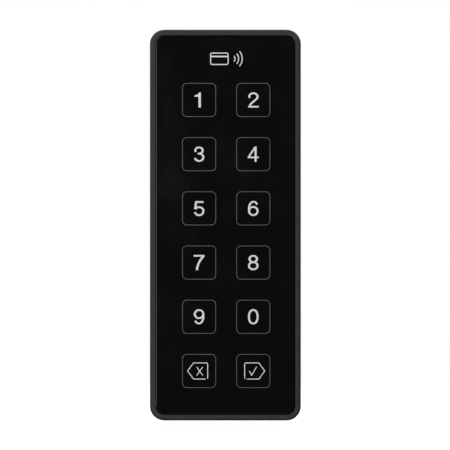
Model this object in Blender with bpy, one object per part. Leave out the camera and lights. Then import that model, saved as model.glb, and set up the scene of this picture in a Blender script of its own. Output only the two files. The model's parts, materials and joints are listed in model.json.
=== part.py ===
"""Wall-mounted RFID card reader with a touch keypad, as an assembly of separate parts.

The frame: X to the right, Z up, the wall is the plane Y = 0 and the glossy face looks along -Y. The origin
is the middle of the housing's outline, on the wall. Depths are distances from the wall, so y = -depth.
The reader unit hangs on two hooks of the wall plate by a round bar inside its top edge. It tilts about that
bar, and a screw at the bottom edge locks it.
"""

import math

import bmesh
import bpy
from mathutils import Matrix, Vector

MM = 0.001
GAP = 0.3 * MM  # clearance kept between neighbouring parts
PAST = 1.0 * MM  # how far a cutter reaches past the face it cuts
OVERLAP = 0.5 * MM  # how far a joined shape reaches into its neighbour

# Housing
WIDTH = 50.2 * MM
HEIGHT = 130.0 * MM
CORNER_RADIUS = 4.8 * MM
REAR = 0.4 * MM  # depth of the skirt's rear edge
RIM_FRONT = 21.75 * MM
EDGE_RADIUS = 0.8 * MM
RIM = 1.85 * MM  # width of the frame around the lens, gap included
SKIRT = 1.8 * MM  # wall thickness around the rear cover
SKIRT_RADIUS = 3.1 * MM
CAVITY_RADIUS = 2.5 * MM
WALL = 3.2 * MM  # wall thickness in front of the seal's ledge
INNER_WALL = 1.4 * MM
LEDGE = 5.9 * MM  # depth of the ledge that the seal rests on
CAVITY_FRONT = 18.0 * MM
RECESS_FLOOR = 19.5 * MM

# Face
FACE_FRONT = 22.0 * MM
LENS_THICKNESS = 1.6 * MM
LENS_GAP = 0.15 * MM
LENS_RADIUS = 2.8 * MM
LENS_CHAMFER = 0.25 * MM
FILM_THICKNESS = 0.3 * MM  # of the legend film and of the gasket around it
WINDOW_HALF = 19.5 * MM
WINDOW_BOTTOM = -56.5 * MM
WINDOW_TOP = 53.0 * MM
WINDOW_RADIUS = 2.0 * MM
LENS_STEPS = 10  # straight pieces in each of the lens's corners

# Keypad
KEY_COLUMNS = (-9.0 * MM, 9.0 * MM)
KEY_TOP = 41.6 * MM
KEY_PITCH = 18.02 * MM
KEY_ROWS = 6
STATUS_X = 6.0 * MM
STATUS_Z = 50.4 * MM

# Hinge between the reader unit and the wall plate
HINGE_Z = 60.8 * MM
HINGE_DEPTH = 4.6 * MM
BAR_RADIUS = 1.2 * MM
BAR_CLEARANCE = 0.2 * MM
HOOK_X = 13.0 * MM
HOOK_HALF = 4.0 * MM
HOOK_TOP = 61.5 * MM
HOOK_ROOT = 54.3 * MM

# Lock at the bottom edge
SCREW_DEPTH = 7.0 * MM
SCREW_RADIUS = 1.45 * MM
SCREW_TIP = -55.6 * MM
HEAD_RADIUS = 2.8 * MM
HEAD_BOTTOM = -64.5 * MM
HEAD_TOP = -62.7 * MM
WASHER_RADIUS = 3.5 * MM
WASHER_BOTTOM = HEAD_TOP + GAP
WASHER_TOP = WASHER_BOTTOM + 0.5 * MM
SEAT_BOTTOM = WASHER_TOP + GAP  # the housing's seat above the washer
SEAT_TOP = SEAT_BOTTOM + 1.5 * MM
TAB_BOTTOM = SEAT_TOP + 0.4 * MM
TAB_TOP = TAB_BOTTOM + 2.2 * MM
TAB_HALF = 6.0 * MM
TAB_FRONT = 10.6 * MM
POCKET_HALF = 8.0 * MM
POCKET_TOP = -53.6 * MM
POCKET_FRONT = 12.0 * MM

# Wall plate
PLATE_THICKNESS = 2.0 * MM
PLATE_HALF = 22.7 * MM
PLATE_BOTTOM = -62.5 * MM
PLATE_TOP = 57.9 * MM
CABLE_Z = 12.0 * MM
CABLE_HOLE_RADIUS = 7.0 * MM
NEAR_SPACING = 60.0 * MM  # screw spacing of a round wall box
FAR_SPACING = 83.3 * MM  # screw spacing of a single-gang wall box
SLOT_WIDTH = 4.6 * MM
SLOT_ADJUSTMENT = 8.0 * MM  # length added to each slot beyond the two spacings
TAMPER_HOLE_RADIUS = 2.0 * MM
RIB = 1.6 * MM  # between the pockets that lighten the plate's back
BACK_POCKET_ROWS = 7
BACK_POCKET_DEPTH = 0.8 * MM
BACK_POCKET_X = (6.4 * MM, 20.4 * MM)
BACK_POCKET_Z = (-59.8 * MM, 53.0 * MM)

# Rear cover and what it carries
COVER_REAR = 2.4 * MM
COVER_FRONT = 4.4 * MM
COVER_TOP = 51.8 * MM
CROSS_WALL_BOTTOM = COVER_TOP + GAP
CROSS_WALL_TOP = CROSS_WALL_BOTTOM + INNER_WALL
HOOK_CAVITY_FRONT = 9.0 * MM
COVER_SCREWS = [(x, z) for x in (-19.5 * MM, 19.5 * MM) for z in (46.5 * MM, -57.5 * MM)]
COVER_SCREW_TIP = 12.5 * MM
BOSS_RADIUS = 2.6 * MM
BOSS_FRONT = 15.9 * MM
BOARD_SCREWS = [(x, z) for x in (-13.0 * MM, 13.0 * MM) for z in (37.2 * MM, -44.0 * MM)]
POST_RADIUS = 1.9 * MM
PILOT_RADIUS = 1.25 * MM
WELL_HALF = 16.0 * MM
WELL_BOTTOM = 1.5 * MM
WELL_FLOOR = 8.9 * MM
WELL_WALL = 1.2 * MM
TERMINAL_WINDOW_BOTTOM = 20.0 * MM
SOUND_HOLE_RADIUS = 1.2 * MM

# Boards
TOUCH_BOARD_REAR = 16.5 * MM
TOUCH_BOARD_FRONT = 17.7 * MM
MAIN_BOARD_REAR = 11.8 * MM
MAIN_BOARD_FRONT = 13.0 * MM
MAIN_BOARD_BOTTOM = -50.0 * MM
MAIN_BOARD_TOP = 43.0 * MM
BOARD_HALF = 21.0 * MM
BOARD_RADIUS = 1.5 * MM
TERMINALS = 8
TERMINAL_PITCH = 3.5 * MM
TERMINAL_BOTTOM = 27.0 * MM
TERMINAL_TOP = 34.7 * MM
TERMINAL_REAR = 3.1 * MM
TERMINAL_HALF = TERMINALS * TERMINAL_PITCH / 2 + 0.9 * MM
TERMINAL_SCREW_Z = 32.2 * MM
BUZZER_X = -9.0 * MM
BUZZER_Z = -31.0 * MM

# Tamper sensing
TAMPER_X = 12.0 * MM
TAMPER_Z = -30.0 * MM
TAMPER_TRAVEL = 1.5 * MM
PLUNGER_TIP = 0.1 * MM
PLUNGER_RADIUS = 1.5 * MM
PLUNGER_FLANGE = COVER_FRONT + GAP + TAMPER_TRAVEL
SWITCH_REAR = 9.9 * MM

# name: (red, green, blue), roughness, metallic
FINISHES = {
    "housing_plastic": ((0.045, 0.045, 0.048), 0.62, 0.0),
    "gloss_black": ((0.004, 0.004, 0.004), 0.08, 0.0),
    "dark_plastic": ((0.02, 0.02, 0.021), 0.5, 0.0),
    "rubber_black": ((0.012, 0.012, 0.012), 0.8, 0.0),
    "film": ((0.03, 0.03, 0.03), 0.4, 0.0),
    "clear_plastic": ((0.75, 0.77, 0.78), 0.35, 0.0),
    "circuit_board": ((0.01, 0.09, 0.035), 0.4, 0.0),
    "chip_black": ((0.015, 0.015, 0.016), 0.45, 0.0),
    "copper": ((0.72, 0.3, 0.14), 0.35, 1.0),
    "steel": ((0.6, 0.6, 0.61), 0.3, 1.0),
    "connector_ivory": ((0.72, 0.68, 0.56), 0.45, 0.0),
    "terminal_green": ((0.02, 0.24, 0.08), 0.45, 0.0),
    "led_white": ((0.85, 0.83, 0.74), 0.3, 0.0),
}


# ---------------------------------------------------------------- outlines, as lists of (x, z)


def arc(centre_x, centre_z, radius, start, end, steps):
    """Points on a circle from the start angle to the end angle, both in degrees and both included."""
    angles = [math.radians(start + (end - start) * i / steps) for i in range(steps + 1)]
    return [(centre_x + radius * math.cos(a), centre_z + radius * math.sin(a)) for a in angles]


def rounded_rect(half_x, low_z, high_z, radius, inset=0.0, steps=4):
    """A rounded rectangle about x = 0, drawn smaller by the inset on every side."""
    inner_x = half_x - radius
    corner = radius - inset
    centres = (
        (inner_x, high_z - radius),
        (-inner_x, high_z - radius),
        (-inner_x, low_z + radius),
        (inner_x, low_z + radius),
    )
    points = []
    for quarter, (x, z) in enumerate(centres):
        points += arc(x, z, corner, 90 * quarter, 90 * quarter + 90, steps)
    return points


def stadium(centre_z, width, length, steps=6):
    """An upright slot outline with round ends, on x = 0."""
    radius = width / 2
    reach = length / 2 - radius
    top = arc(0, centre_z + reach, radius, 0, 180, steps)
    return top + arc(0, centre_z - reach, radius, 180, 360, steps)


def rectangle(low_x, high_x, low_z, high_z):
    return [(low_x, low_z), (high_x, low_z), (high_x, high_z), (low_x, high_z)]


# ---------------------------------------------------------------- solids


def make_object(name, bm):
    """Turns a bmesh into an object, its faces outward and its curved faces smooth."""
    bmesh.ops.recalc_face_normals(bm, faces=bm.faces)
    mesh = bpy.data.meshes.new(name)
    bm.to_mesh(mesh)
    bm.free()
    obj = bpy.data.objects.new(name, mesh)
    bpy.context.scene.collection.objects.link(obj)
    return obj


def loft(name, rings):
    """A closed solid through rings of 3-D points, with a flat cap on the first and the last."""
    bm = bmesh.new()
    loops = [[bm.verts.new(point) for point in ring] for ring in rings]
    count = len(loops[0])
    for low, high in zip(loops, loops[1:]):
        for i in range(count):
            j = (i + 1) % count
            bm.faces.new((low[i], low[j], high[j], high[i]))
    bm.faces.new(loops[0])
    bm.faces.new(loops[-1])
    return make_object(name, bm)


def at_depth(outline, depth):
    return [Vector((x, -depth, z)) for x, z in outline]


def prism(name, outline, rear, front):
    """An outline in the XZ plane, extruded from one depth to another."""
    return loft(name, [at_depth(outline, rear), at_depth(outline, front)])


def block(name, x, z, depth):
    """A box between pairs of limits."""
    return prism(name, rectangle(x[0], x[1], z[0], z[1]), depth[0], depth[1])


def side_prism(name, profile, low_x, high_x):
    """A profile of (depth, z) points, extruded along X."""
    rings = [[Vector((x, -depth, z)) for depth, z in profile] for x in (low_x, high_x)]
    return loft(name, rings)


def band(name, outer, inner, rear, front):
    """A flat ring between two outlines with the same number of points."""
    bm = bmesh.new()
    rings = [at_depth(outer, rear), at_depth(outer, front), at_depth(inner, front), at_depth(inner, rear)]
    loops = [[bm.verts.new(point) for point in ring] for ring in rings]
    count = len(outer)
    for k in range(4):
        near, far = loops[k], loops[(k + 1) % 4]
        for i in range(count):
            j = (i + 1) % count
            bm.faces.new((near[i], near[j], far[j], far[i]))
    return make_object(name, bm)


def turned(name, profile, axis, steps=16, is_ring=False):
    """A profile of (radius, height) points turned about a line through the origin, along depth or along Z."""
    bm = bmesh.new()
    loops = []
    for radius, height in profile:
        angles = [0.0] if radius == 0 else [2 * math.pi * i / steps for i in range(steps)]
        loop = []
        for a in angles:
            side, across = radius * math.cos(a), radius * math.sin(a)
            point = (side, -height, across) if axis == "depth" else (side, across, height)
            loop.append(bm.verts.new(point))
        loops.append(loop)
    pairs = list(zip(loops, loops[1:]))
    if is_ring:
        pairs.append((loops[-1], loops[0]))
    for near, far in pairs:
        for i in range(steps):
            j = (i + 1) % steps
            corners = [near[i % len(near)], near[j % len(near)], far[j % len(far)], far[i % len(far)]]
            bm.faces.new(list(dict.fromkeys(corners)))
    if not is_ring:
        for loop in (loops[0], loops[-1]):
            if len(loop) > 1:
                bm.faces.new(loop)
    return make_object(name, bm)


def moved(obj, x=0.0, depth=0.0, z=0.0):
    """Shifts an object's mesh, so that its place is in its mesh and booleans see it there."""
    obj.data.transform(Matrix.Translation((x, -depth, z)))
    return obj


def rod(name, radius, rear, front, x, z, steps=16):
    """A plain cylinder along the depth."""
    return moved(turned(name, [(radius, rear), (radius, front)], "depth", steps), x=x, z=z)


def combine(body, operation, tools):
    """Cuts the tools from the body or joins them to it, and removes the tools."""
    for tool in tools:
        modifier = body.modifiers.new(tool.name, "BOOLEAN")
        modifier.operation = operation
        modifier.solver = "EXACT"
        modifier.object = tool
    bpy.context.view_layer.update()
    evaluated = body.evaluated_get(bpy.context.evaluated_depsgraph_get())
    mesh = bpy.data.meshes.new_from_object(evaluated)
    body.modifiers.clear()
    mesh.name = body.name
    body.data = mesh
    for tool in tools:
        bpy.data.objects.remove(tool)
    return body


def cut(body, *tools):
    return combine(body, "DIFFERENCE", tools)


def join(body, *tools):
    return combine(body, "UNION", tools)


# ---------------------------------------------------------------- assembly


def make_empty(name, x, depth, z):
    empty = bpy.data.objects.new(name, None)
    empty.empty_display_size = 5 * MM
    empty.location = (x, -depth, z)
    bpy.context.scene.collection.objects.link(empty)
    return empty


def make_material(name):
    colour, roughness, metallic = FINISHES[name]
    material = bpy.data.materials.new(name)
    material.use_nodes = True
    shader = material.node_tree.nodes["Principled BSDF"]
    shader.inputs["Base Color"].default_value = (*colour, 1.0)
    shader.inputs["Roughness"].default_value = roughness
    shader.inputs["Metallic"].default_value = metallic
    return material


def finish(obj, finish_name, parent=None, place=(0.0, 0.0, 0.0)):
    """Gives a part its material, its place in the world and its parent."""
    obj.data.materials.clear()
    obj.data.materials.append(bpy.data.materials.get(finish_name) or make_material(finish_name))
    obj.data.shade_smooth()
    obj.data.set_sharp_from_angle(angle=math.radians(35))
    x, depth, z = place
    obj.location = (x, -depth, z)
    if parent is not None:
        obj.parent = parent
        obj.matrix_parent_inverse = Matrix.Translation(-parent.location)
    return obj


def copies(names, first, finish_name, parent, places):
    """Places one object at the first place and objects that share its mesh at the others."""
    for name, place in zip(names, places):
        obj = first if name == names[0] else bpy.data.objects.new(name, first.data)
        if obj is not first:
            bpy.context.scene.collection.objects.link(obj)
        obj.name = name
        finish(obj, finish_name, parent, place)


# ---------------------------------------------------------------- wall plate and lock


def hook_profile():
    """A hook's side view as (depth, z): a root on the plate, a round seat for the bar and an upright lip."""
    seat = BAR_RADIUS + BAR_CLEARANCE
    lip = 1.4 * MM
    slope = 1.2 * MM
    soft = 0.5 * MM
    lip_bottom = HOOK_ROOT + 3.5 * MM
    lip_front = HINGE_DEPTH + seat + lip
    root = PLATE_THICKNESS / 2
    profile = [
        (root, HOOK_ROOT),
        (PLATE_THICKNESS + GAP, HOOK_ROOT),
        (lip_front - slope, lip_bottom - slope),
        (lip_front, lip_bottom),
        (lip_front, HOOK_TOP - soft),
        (lip_front - soft, HOOK_TOP),
        (HINGE_DEPTH + seat, HOOK_TOP),
    ]
    profile += arc(HINGE_DEPTH, HINGE_Z, seat, 0, -135, 9)
    profile += [(PLATE_THICKNESS, PLATE_TOP), (root, PLATE_TOP - soft)]
    return profile


def wall_slot(side):
    """A cutter for a countersunk upright slot that takes a wall screw at either spacing."""
    z = side * (NEAR_SPACING + FAR_SPACING) / 4
    length = (FAR_SPACING - NEAR_SPACING) / 2 + SLOT_ADJUSTMENT
    widening = 3.4 * MM
    countersink_rear = 0.6 * MM
    rings = [
        at_depth(stadium(z, SLOT_WIDTH, length), -PAST),
        at_depth(stadium(z, SLOT_WIDTH, length), countersink_rear),
        at_depth(stadium(z, SLOT_WIDTH + widening, length + widening), PLATE_THICKNESS + GAP),
    ]
    return loft("slot_cutter", rings)


def lock_tab():
    """The tab that takes the locking screw, with two gussets above it."""
    inside = PLATE_THICKNESS / 2
    reach = 6.5 * MM
    rise = 3.2 * MM
    thickness = 1.2 * MM
    tab = block("tab", (-TAB_HALF, TAB_HALF), (TAB_BOTTOM, TAB_TOP), (inside, TAB_FRONT))
    profile = [(inside, TAB_TOP - GAP), (reach, TAB_TOP - GAP), (inside, TAB_TOP + rise)]
    lows = (GAP - TAB_HALF, TAB_HALF - GAP - thickness)
    return [tab] + [side_prism("gusset", profile, low, low + thickness) for low in lows]


def back_pockets():
    """Cutters for the pockets in the plate's back, in two columns, with solid rings left around the holes."""
    low_x, high_x = BACK_POCKET_X
    low_z, high_z = BACK_POCKET_Z
    half_x = (high_x - low_x) / 2
    middle_x = (high_x + low_x) / 2
    pitch = (high_z - low_z + RIB) / BACK_POCKET_ROWS
    corner = 1.5 * MM
    ring_width = 2.0 * MM
    holes = ((0.0, CABLE_Z, CABLE_HOLE_RADIUS), (TAMPER_X, TAMPER_Z, TAMPER_HOLE_RADIUS))
    cutters = []
    for row in range(BACK_POCKET_ROWS):
        bottom = low_z + row * pitch
        top = bottom + pitch - RIB
        outline = rounded_rect(half_x, bottom, top, corner, steps=3)
        for side in (-1, 1):
            pocket = moved(prism("back_pocket", outline, -PAST, BACK_POCKET_DEPTH), x=side * middle_x)
            for x, z, radius in holes:
                reach = radius + ring_width
                if side * x >= 0 and bottom - reach < z < top + reach:
                    cut(pocket, rod("ring", reach, -2 * PAST, PAST, x, z, 32))
            cutters.append(pocket)
    return cutters


def up_arrow():
    """A cutter for the shallow arrow on the plate's back that shows which end goes up."""
    tip_z = -6.0 * MM
    head_half = 2.8 * MM
    head = 4.2 * MM
    shaft_half = 0.9 * MM
    length = 10.0 * MM
    depth = 0.4 * MM
    right = [(shaft_half, tip_z - length), (shaft_half, tip_z - head), (head_half, tip_z - head)]
    left = [(-x, z) for x, z in reversed(right)]
    return prism("up_arrow", right + [(0.0, tip_z)] + left, -PAST, depth)


def make_wall_plate():
    corner = 3.0 * MM
    chamfer = 0.3 * MM
    size = (PLATE_HALF, PLATE_BOTTOM, PLATE_TOP, corner)
    rings = [
        at_depth(rounded_rect(*size), 0.0),
        at_depth(rounded_rect(*size), PLATE_THICKNESS - chamfer),
        at_depth(rounded_rect(*size, inset=chamfer), PLATE_THICKNESS),
    ]
    plate = loft("wall_plate", rings)
    hooks = [
        side_prism("hook", hook_profile(), x - HOOK_HALF, x + HOOK_HALF) for x in (-HOOK_X, HOOK_X)
    ]
    join(plate, *hooks, *lock_tab())
    hole = SCREW_RADIUS + GAP
    thread = turned("thread_cutter", [(hole, TAB_BOTTOM - PAST), (hole, TAB_TOP + PAST)], "z")
    through = (-PAST, PLATE_THICKNESS + PAST)
    cable_hole = rod("cable_cutter", CABLE_HOLE_RADIUS, *through, 0, CABLE_Z, 32)
    tamper_hole = rod("tamper_cutter", TAMPER_HOLE_RADIUS, *through, TAMPER_X, TAMPER_Z)
    slots = [wall_slot(side) for side in (1, -1)]
    cut(plate, moved(thread, depth=SCREW_DEPTH), cable_hole, tamper_hole, *slots)
    cut(plate, *back_pockets(), up_arrow())
    finish(plate, "dark_plastic")


def make_cable_grommet():
    inner = 4.6 * MM
    waist = CABLE_HOLE_RADIUS - GAP
    flange = 8.5 * MM
    flange_rear = PLATE_THICKNESS + GAP
    flange_front = 3.1 * MM
    rear = 0.1 * MM
    soft = 0.25 * MM
    profile = [
        (inner + soft, rear),
        (waist, rear),
        (waist, flange_rear),
        (flange, flange_rear),
        (flange, flange_front - soft),
        (flange - soft, flange_front),
        (inner + soft, flange_front),
        (inner, flange_front - soft),
        (inner, rear + soft),
    ]
    grommet = turned("cable_grommet", profile, "depth", 32, is_ring=True)
    finish(grommet, "rubber_black", place=(0, 0, CABLE_Z))


def make_lock(screw_axis):
    """The locking screw, its head down and its tip in the plate's tab, and the washer under the head."""
    edge = 0.3 * MM
    head = [(0, HEAD_BOTTOM), (HEAD_RADIUS - edge, HEAD_BOTTOM), (HEAD_RADIUS, HEAD_BOTTOM + edge)]
    shank = [
        (HEAD_RADIUS, HEAD_TOP),
        (SCREW_RADIUS, HEAD_TOP),
        (SCREW_RADIUS, SCREW_TIP - edge),
        (SCREW_RADIUS - edge, SCREW_TIP),
        (0, SCREW_TIP),
    ]
    screw = turned("locking_screw", head + shank, "z", 24)
    socket_top = HEAD_BOTTOM + 1.2 * MM
    hexagon = 1.3 * MM
    pin_radius = 0.4 * MM
    socket = turned("socket_cutter", [(hexagon, HEAD_BOTTOM - PAST), (hexagon, socket_top)], "z", 6)
    pin = turned("pin", [(pin_radius, HEAD_BOTTOM - 2 * PAST), (pin_radius, socket_top + PAST)], "z", 12)
    cut(screw, cut(socket, pin))
    finish(screw, "steel", screw_axis, (0, SCREW_DEPTH, 0))
    hole = SCREW_RADIUS + GAP
    ring = [
        (hole, WASHER_BOTTOM),
        (WASHER_RADIUS, WASHER_BOTTOM),
        (WASHER_RADIUS, WASHER_TOP),
        (hole, WASHER_TOP),
    ]
    washer = turned("lock_washer", ring, "z", 24, is_ring=True)
    finish(washer, "steel", screw_axis, (0, SCREW_DEPTH, 0))


# ---------------------------------------------------------------- housing


def rear_corner_cutter(radius):
    """Removes what lies outside a round of this radius about the hinge, at the top rear edge."""
    far = 12 * MM
    profile = arc(HINGE_DEPTH, HINGE_Z, radius, 90, 180, 10)
    profile += [(-far, HINGE_Z), (-far, HINGE_Z + far), (HINGE_DEPTH, HINGE_Z + far)]
    return side_prism("corner_cutter", profile, -WIDTH, WIDTH)


def housing_shell():
    """The outer shape with a soft front edge and a small rear chamfer, still solid inside."""
    size = (WIDTH / 2, -HEIGHT / 2, HEIGHT / 2, CORNER_RADIUS)
    chamfer = 0.3 * MM
    steps = 4
    sections = [(chamfer, REAR), (0.0, REAR + chamfer)]
    for i in range(steps + 1):
        turn = math.radians(90 * i / steps)
        inset = EDGE_RADIUS * (1 - math.cos(turn))
        sections.append((inset, RIM_FRONT - EDGE_RADIUS * (1 - math.sin(turn))))
    rings = [at_depth(rounded_rect(*size, inset=inset, steps=9), depth) for inset, depth in sections]
    shell = loft("housing", rings)
    top_to_hinge = HEIGHT / 2 - HINGE_Z
    return cut(shell, rear_corner_cutter(top_to_hinge))


def housing_hollows():
    """Cutters for the lens recess, the light window, the main cavity and the space for cover and plate."""
    recess_x = WIDTH / 2 - RIM
    recess_z = HEIGHT / 2 - RIM
    recess = rounded_rect(recess_x, -recess_z, recess_z, LENS_RADIUS + LENS_GAP, steps=LENS_STEPS)
    window = rounded_rect(WINDOW_HALF, WINDOW_BOTTOM, WINDOW_TOP, WINDOW_RADIUS, steps=3)
    inner_x = WIDTH / 2 - WALL
    inner_z = HEIGHT / 2 - WALL
    cavity = rounded_rect(inner_x, -inner_z, inner_z, CAVITY_RADIUS, steps=3)
    skirt_x = WIDTH / 2 - SKIRT
    skirt_z = HEIGHT / 2 - SKIRT
    rear = prism("rear_space", rounded_rect(skirt_x, -skirt_z, skirt_z, SKIRT_RADIUS), -PAST, LEDGE)
    cut(rear, rear_corner_cutter(skirt_z - HINGE_Z))
    return [
        prism("recess_cutter", recess, RECESS_FLOOR, FACE_FRONT + PAST),
        prism("window_cutter", window, CAVITY_FRONT - PAST, RECESS_FLOOR + PAST / 2),
        prism("cavity_cutter", cavity, HINGE_DEPTH, CAVITY_FRONT),
        rear,
    ]


def hinge_structure():
    """Additions at the top: the wall above the rear cover, the bar and the webs that carry the bar."""
    front = HOOK_CAVITY_FRONT + INNER_WALL
    skirt_x = WIDTH / 2 - SKIRT + OVERLAP
    inner_x = WIDTH / 2 - WALL + OVERLAP
    wall_top = HEIGHT / 2 - WALL + OVERLAP
    web_top = HEIGHT / 2 - SKIRT + OVERLAP
    web_rear = HINGE_DEPTH - BAR_RADIUS / 2
    web_x = 19.5 * MM
    web_half = 1.0 * MM
    cross_z = (CROSS_WALL_BOTTOM, CROSS_WALL_TOP)
    ledge_z = (CROSS_WALL_BOTTOM - INNER_WALL, CROSS_WALL_TOP)
    bar = turned("bar", [(BAR_RADIUS, -skirt_x), (BAR_RADIUS, skirt_x)], "z", 24)
    bar.data.transform(Matrix.Rotation(math.radians(90), 4, "Y"))
    webs = [
        block("web", (x - web_half, x + web_half), (HINGE_Z, web_top), (web_rear, front))
        for x in (-web_x, 0, web_x)
    ]
    return [
        block("cross_wall", (-skirt_x, skirt_x), cross_z, (COVER_REAR, front)),
        block("ledge", (-inner_x, inner_x), ledge_z, (LEDGE, front)),
        block("front_wall", (-inner_x, inner_x), (CROSS_WALL_BOTTOM, wall_top), (HOOK_CAVITY_FRONT, front)),
        moved(bar, depth=HINGE_DEPTH, z=HINGE_Z),
        *webs,
    ]


def lock_structure():
    """Additions at the bottom: the box around the plate's tab and the step that the seal rests on."""
    half = POCKET_HALF + INNER_WALL
    top = POCKET_TOP + INNER_WALL
    front = POCKET_FRONT + WELL_WALL
    box_bottom = -HEIGHT / 2 + SKIRT - 2 * OVERLAP
    step_bottom = -HEIGHT / 2 + WALL - OVERLAP
    step_half = half + INNER_WALL
    return [
        block("lock_box", (-half, half), (box_bottom, top), (COVER_REAR, front)),
        block("lock_step", (-step_half, step_half), (step_bottom, top + INNER_WALL), (LEDGE, front)),
    ]


def open_slot(half, low_z, high_z):
    """Cutters for a slot that is round in front of the lock screw and open towards the wall."""
    straight = block("slot_cutter", (-half, half), (low_z, high_z), (-PAST, SCREW_DEPTH))
    end = turned("slot_end_cutter", [(half, low_z), (half, high_z)], "z", 24)
    return [straight, moved(end, depth=SCREW_DEPTH)]


def boss(x, z):
    """A cover screw's boss, a round post with a foot that joins it to the side wall."""
    toward_wall = math.copysign(WIDTH / 2 - WALL + OVERLAP, x)
    foot_half = BOSS_RADIUS * 0.9
    post = rod("boss", BOSS_RADIUS, LEDGE, BOSS_FRONT, x, z)
    limits = (min(x, toward_wall), max(x, toward_wall))
    return [post, block("foot", limits, (z - foot_half, z + foot_half), (LEDGE, BOSS_FRONT))]


def make_housing(tilt_axis):
    housing = cut(housing_shell(), *housing_hollows())
    bosses = [piece for x, z in COVER_SCREWS for piece in boss(x, z)]
    join(housing, *hinge_structure(), *lock_structure(), *bosses)
    pilot_front = COVER_SCREW_TIP + OVERLAP
    pocket = block("pocket", (-POCKET_HALF, POCKET_HALF), (SEAT_TOP, POCKET_TOP), (-PAST, POCKET_FRONT))
    channel = open_slot(WASHER_RADIUS + 0.7 * MM, -HEIGHT / 2 - PAST, SEAT_BOTTOM)
    shank_slot = open_slot(SCREW_RADIUS + 0.45 * MM, SEAT_BOTTOM - PAST, SEAT_TOP + PAST)
    pilots = [rod("pilot", PILOT_RADIUS, LEDGE - PAST, pilot_front, x, z, 12) for x, z in COVER_SCREWS]
    cut(housing, pocket, *channel, *shank_slot, *pilots)
    finish(housing, "housing_plastic", tilt_axis)


# ---------------------------------------------------------------- face and light


def make_face_lens(tilt_axis):
    half_x = WIDTH / 2 - RIM - LENS_GAP
    half_z = HEIGHT / 2 - RIM - LENS_GAP
    sections = [(0.0, FACE_FRONT - LENS_THICKNESS), (0.0, FACE_FRONT - LENS_CHAMFER)]
    sections += [(LENS_CHAMFER * 0.35, FACE_FRONT - LENS_CHAMFER * 0.3), (LENS_CHAMFER, FACE_FRONT)]
    rings = [
        at_depth(rounded_rect(half_x, -half_z, half_z, LENS_RADIUS, inset=inset, steps=LENS_STEPS), depth)
        for inset, depth in sections
    ]
    finish(loft("face_lens", rings), "gloss_black", tilt_axis)


def window_outline(grow, radius):
    """The light window's outline, larger by grow on every side."""
    return rounded_rect(WINDOW_HALF + grow, WINDOW_BOTTOM - grow, WINDOW_TOP + grow, radius)


def make_lens_gasket(tilt_axis):
    """The adhesive gasket that bonds the lens, around the legend film."""
    rear = RECESS_FLOOR + GAP
    margin = RIM + 0.4 * MM
    outer_x = WIDTH / 2 - margin
    outer_z = HEIGHT / 2 - margin
    outer = rounded_rect(outer_x, -outer_z, outer_z, LENS_RADIUS - LENS_CHAMFER)
    inner = window_outline(2 * GAP, WINDOW_RADIUS)
    finish(band("lens_gasket", outer, inner, rear, rear + FILM_THICKNESS), "rubber_black", tilt_axis)


def make_legend_film(tilt_axis):
    rear = RECESS_FLOOR + GAP
    outline = window_outline(GAP, WINDOW_RADIUS - GAP)
    finish(prism("legend_film", outline, rear, rear + FILM_THICKNESS), "film", tilt_axis)


def key_centres():
    return [(x, KEY_TOP - row * KEY_PITCH) for row in range(KEY_ROWS) for x in KEY_COLUMNS]


def light_centres():
    return key_centres() + [(-STATUS_X, STATUS_Z), (STATUS_X, STATUS_Z)]


def make_light_diffuser(tilt_axis):
    """A clear plate in the window, with a hole over each light."""
    rear = CAVITY_FRONT + GAP
    plate = prism("light_diffuser", window_outline(-GAP, WINDOW_RADIUS - GAP), rear, RECESS_FLOOR)
    half_x, half_z = 2.0 * MM, 1.25 * MM
    through = (rear - PAST, RECESS_FLOOR + PAST)
    holes = [
        block("light_hole", (x - half_x, x + half_x), (z - half_z, z + half_z), through)
        for x, z in light_centres()
    ]
    finish(cut(plate, *holes), "clear_plastic", tilt_axis)


def make_lights(tilt_axis):
    """One surface-mounted light behind each key, and two for the reader's status."""
    rear = TOUCH_BOARD_FRONT + GAP
    half_x, half_z, height = 1.6 * MM, 0.8 * MM, 0.8 * MM
    corner = 0.15 * MM
    taper = 0.2 * MM
    base = rounded_rect(half_x, -half_z, half_z, corner, steps=1)
    crown = rounded_rect(half_x - taper, taper - half_z, half_z - taper, corner, steps=1)
    rings = [at_depth(base, 0.0), at_depth(base, height * 0.6), at_depth(crown, height)]
    light = loft("key_light_1", rings)
    names = [f"key_light_{i + 1}" for i in range(len(key_centres()))] + ["status_light_1", "status_light_2"]
    copies(names, light, "led_white", tilt_axis, [(x, rear, z) for x, z in light_centres()])


# ---------------------------------------------------------------- boards


def make_touch_board(tilt_axis):
    outline = rounded_rect(BOARD_HALF, WINDOW_BOTTOM - GAP, WINDOW_TOP + GAP, BOARD_RADIUS, steps=3)
    board = prism("touch_board", outline, TOUCH_BOARD_REAR, TOUCH_BOARD_FRONT)
    finish(board, "circuit_board", tilt_axis)


def make_main_board(tilt_axis):
    outline = rounded_rect(BOARD_HALF, MAIN_BOARD_BOTTOM, MAIN_BOARD_TOP, BOARD_RADIUS, steps=3)
    board = prism("main_board", outline, MAIN_BOARD_REAR, MAIN_BOARD_FRONT)
    holes = [
        rod("hole", PILOT_RADIUS, MAIN_BOARD_REAR - PAST, MAIN_BOARD_FRONT + PAST, x, z, 12)
        for x, z in BOARD_SCREWS
    ]
    finish(cut(board, *holes), "circuit_board", tilt_axis)


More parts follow.
